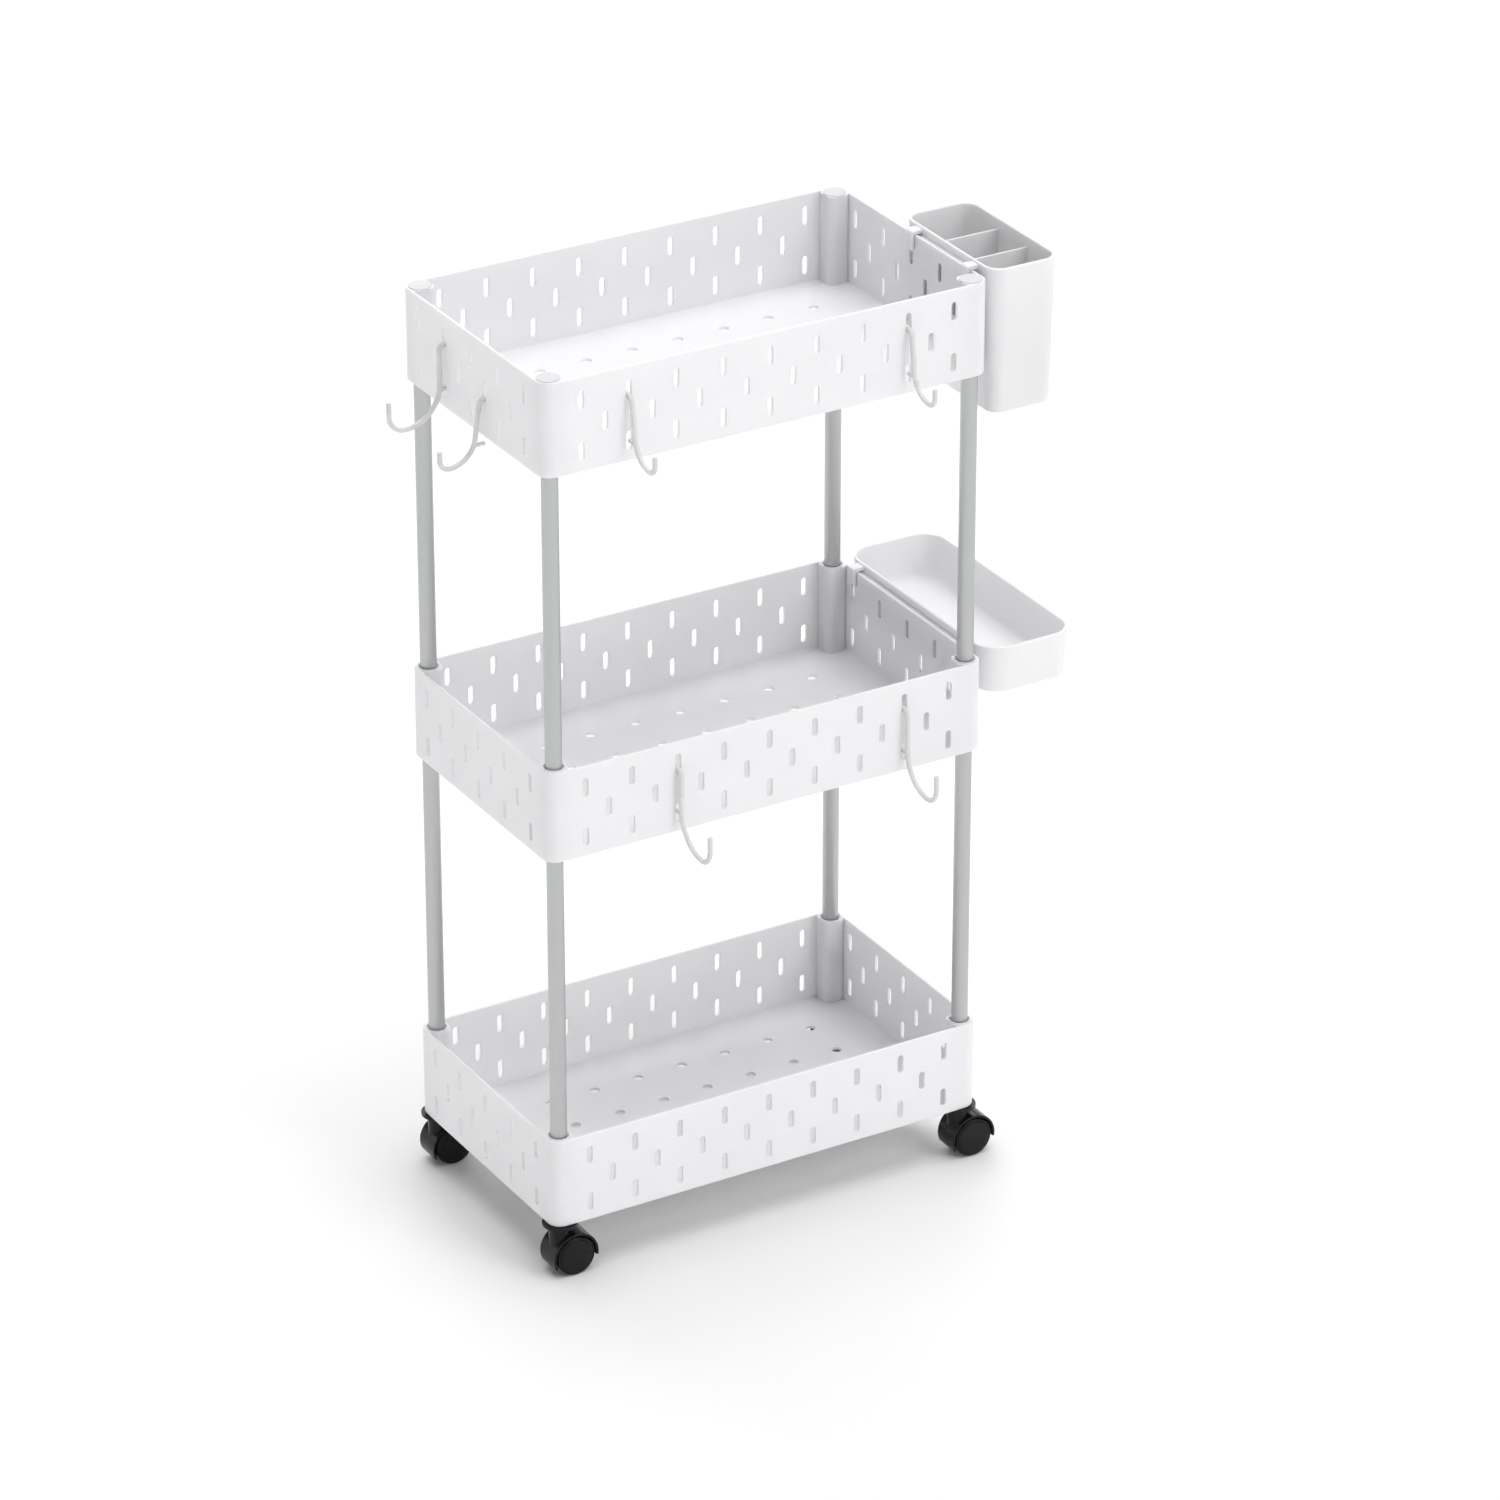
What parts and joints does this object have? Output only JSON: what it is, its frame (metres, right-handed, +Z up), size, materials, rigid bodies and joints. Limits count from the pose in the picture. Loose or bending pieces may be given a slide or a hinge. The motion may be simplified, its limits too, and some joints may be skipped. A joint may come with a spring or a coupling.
{
  "type": "rolling pantry cart",
  "caption": "Rolling cart of open slotted plastic trays on metal tubes, with swivel casters, hanging wire hooks, a divided hanging cup and a shallow hanging side tray.",
  "frame": {"origin": "middle of the bottom tray's floor, on its top face", "axes": "+X right along the long side, towards the hanging cup; +Y to the back; +Z up"},
  "size_m": [0.5214, 0.2725, 0.76],
  "materials": {
    "tray_plastic": "satin white",
    "accessory_plastic": "satin white",
    "cap_plastic": "satin light grey",
    "tube_aluminium": "satin",
    "hook_wire": "gloss white",
    "caster_plastic": "gloss black",
    "caster_steel": "zinc plated"
  },
  "bodies": {
    "cart": {"tray_bottom": "tray_plastic", "tray_middle": "tray_plastic", "tray_top": "tray_plastic", "tube_lower_front_left": "tube_aluminium", "tube_upper_front_left": "tube_aluminium", "cap_front_left": "cap_plastic", "caster_plate_front_left": "caster_plastic", "caster_stem_front_left": "caster_steel", "tube_lower_front_right": "tube_aluminium", "tube_upper_front_right": "tube_aluminium", "cap_front_right": "cap_plastic", "caster_plate_front_right": "caster_plastic", "caster_stem_front_right": "caster_steel", "tube_lower_back_left": "tube_aluminium", "tube_upper_back_left": "tube_aluminium", "cap_back_left": "cap_plastic", "caster_plate_back_left": "caster_plastic", "caster_stem_back_left": "caster_steel", "tube_lower_back_right": "tube_aluminium", "tube_upper_back_right": "tube_aluminium", "cap_back_right": "cap_plastic", "caster_plate_back_right": "caster_plastic", "caster_stem_back_right": "caster_steel"},
    "caster_front_left": {"caster_hood_front_left": "caster_plastic", "caster_axle_front_left": "caster_steel"},
    "wheel_front_left_a": {"caster_wheel_front_left_a": "caster_plastic"},
    "wheel_front_left_b": {"caster_wheel_front_left_b": "caster_plastic"},
    "caster_front_right": {"caster_hood_front_right": "caster_plastic", "caster_axle_front_right": "caster_steel"},
    "wheel_front_right_a": {"caster_wheel_front_right_a": "caster_plastic"},
    "wheel_front_right_b": {"caster_wheel_front_right_b": "caster_plastic"},
    "caster_back_left": {"caster_hood_back_left": "caster_plastic", "caster_axle_back_left": "caster_steel"},
    "wheel_back_left_a": {"caster_wheel_back_left_a": "caster_plastic"},
    "wheel_back_left_b": {"caster_wheel_back_left_b": "caster_plastic"},
    "caster_back_right": {"caster_hood_back_right": "caster_plastic", "caster_axle_back_right": "caster_steel"},
    "wheel_back_right_a": {"caster_wheel_back_right_a": "caster_plastic"},
    "wheel_back_right_b": {"caster_wheel_back_right_b": "caster_plastic"},
    "hook_front_top_left": {"hook_front_top_left": "hook_wire"},
    "hook_front_top_right": {"hook_front_top_right": "hook_wire"},
    "hook_front_middle_left": {"hook_front_middle_left": "hook_wire"},
    "hook_front_middle_right": {"hook_front_middle_right": "hook_wire"},
    "hook_side_back": {"hook_side_back": "hook_wire"},
    "hook_side_front": {"hook_side_front": "hook_wire"},
    "storage_cup": {"storage_cup": "accessory_plastic"},
    "side_tray": {"side_tray": "accessory_plastic"}
  },
  "joints": [
    {"name": "swivel_front_left", "type": "hinge", "parent": "cart", "child": "caster_front_left", "pos_m": [-0.181, -0.099, -0.02], "axis": [0, 0, 1], "continuous": true},
    {"name": "roll_front_left_a", "type": "hinge", "parent": "caster_front_left", "child": "wheel_front_left_a", "pos_m": [-0.173, -0.099, -0.0309], "axis": [0, 1, 0], "continuous": true},
    {"name": "roll_front_left_b", "type": "hinge", "parent": "caster_front_left", "child": "wheel_front_left_b", "pos_m": [-0.173, -0.099, -0.0309], "axis": [0, 1, 0], "continuous": true},
    {"name": "swivel_front_right", "type": "hinge", "parent": "cart", "child": "caster_front_right", "pos_m": [0.181, -0.099, -0.02], "axis": [0, 0, 1], "continuous": true},
    {"name": "roll_front_right_a", "type": "hinge", "parent": "caster_front_right", "child": "wheel_front_right_a", "pos_m": [0.189, -0.099, -0.0309], "axis": [0, 1, 0], "continuous": true},
    {"name": "roll_front_right_b", "type": "hinge", "parent": "caster_front_right", "child": "wheel_front_right_b", "pos_m": [0.189, -0.099, -0.0309], "axis": [0, 1, 0], "continuous": true},
    {"name": "swivel_back_left", "type": "hinge", "parent": "cart", "child": "caster_back_left", "pos_m": [-0.181, 0.099, -0.02], "axis": [0, 0, 1], "continuous": true},
    {"name": "roll_back_left_a", "type": "hinge", "parent": "caster_back_left", "child": "wheel_back_left_a", "pos_m": [-0.173, 0.099, -0.0309], "axis": [0, 1, 0], "continuous": true},
    {"name": "roll_back_left_b", "type": "hinge", "parent": "caster_back_left", "child": "wheel_back_left_b", "pos_m": [-0.173, 0.099, -0.0309], "axis": [0, 1, 0], "continuous": true},
    {"name": "swivel_back_right", "type": "hinge", "parent": "cart", "child": "caster_back_right", "pos_m": [0.181, 0.099, -0.02], "axis": [0, 0, 1], "continuous": true},
    {"name": "roll_back_right_a", "type": "hinge", "parent": "caster_back_right", "child": "wheel_back_right_a", "pos_m": [0.189, 0.099, -0.0309], "axis": [0, 1, 0], "continuous": true},
    {"name": "roll_back_right_b", "type": "hinge", "parent": "caster_back_right", "child": "wheel_back_right_b", "pos_m": [0.189, 0.099, -0.0309], "axis": [0, 1, 0], "continuous": true},
    {"name": "swing_front_top_left", "type": "hinge", "parent": "cart", "child": "hook_front_top_left", "pos_m": [-0.12, -0.1088, 0.68435], "axis": [-1, 0, 0], "range_deg": [0, 15]},
    {"name": "swing_front_top_right", "type": "hinge", "parent": "cart", "child": "hook_front_top_right", "pos_m": [0.12, -0.1088, 0.68435], "axis": [-1, 0, 0], "range_deg": [0, 15]},
    {"name": "swing_front_middle_left", "type": "hinge", "parent": "cart", "child": "hook_front_middle_left", "pos_m": [-0.08, -0.1088, 0.36735], "axis": [-1, 0, 0], "range_deg": [0, 15]},
    {"name": "swing_front_middle_right", "type": "hinge", "parent": "cart", "child": "hook_front_middle_right", "pos_m": [0.12, -0.1088, 0.36735], "axis": [-1, 0, 0], "range_deg": [0, 15]},
    {"name": "swing_side_back", "type": "hinge", "parent": "cart", "child": "hook_side_back", "pos_m": [-0.1908, 0.041, 0.68435], "axis": [0, 1, 0], "range_deg": [0, 15]},
    {"name": "swing_side_front", "type": "hinge", "parent": "cart", "child": "hook_side_front", "pos_m": [-0.1908, -0.0205, 0.66365], "axis": [0, 1, 0], "range_deg": [0, 15]},
    {"name": "lift_storage_cup", "type": "slide", "parent": "cart", "child": "storage_cup", "axis": [0, 0, 1], "range_m": [0, 0.06]},
    {"name": "lift_side_tray", "type": "slide", "parent": "cart", "child": "side_tray", "axis": [0, 0, 1], "range_m": [0, 0.05]}
  ]
}
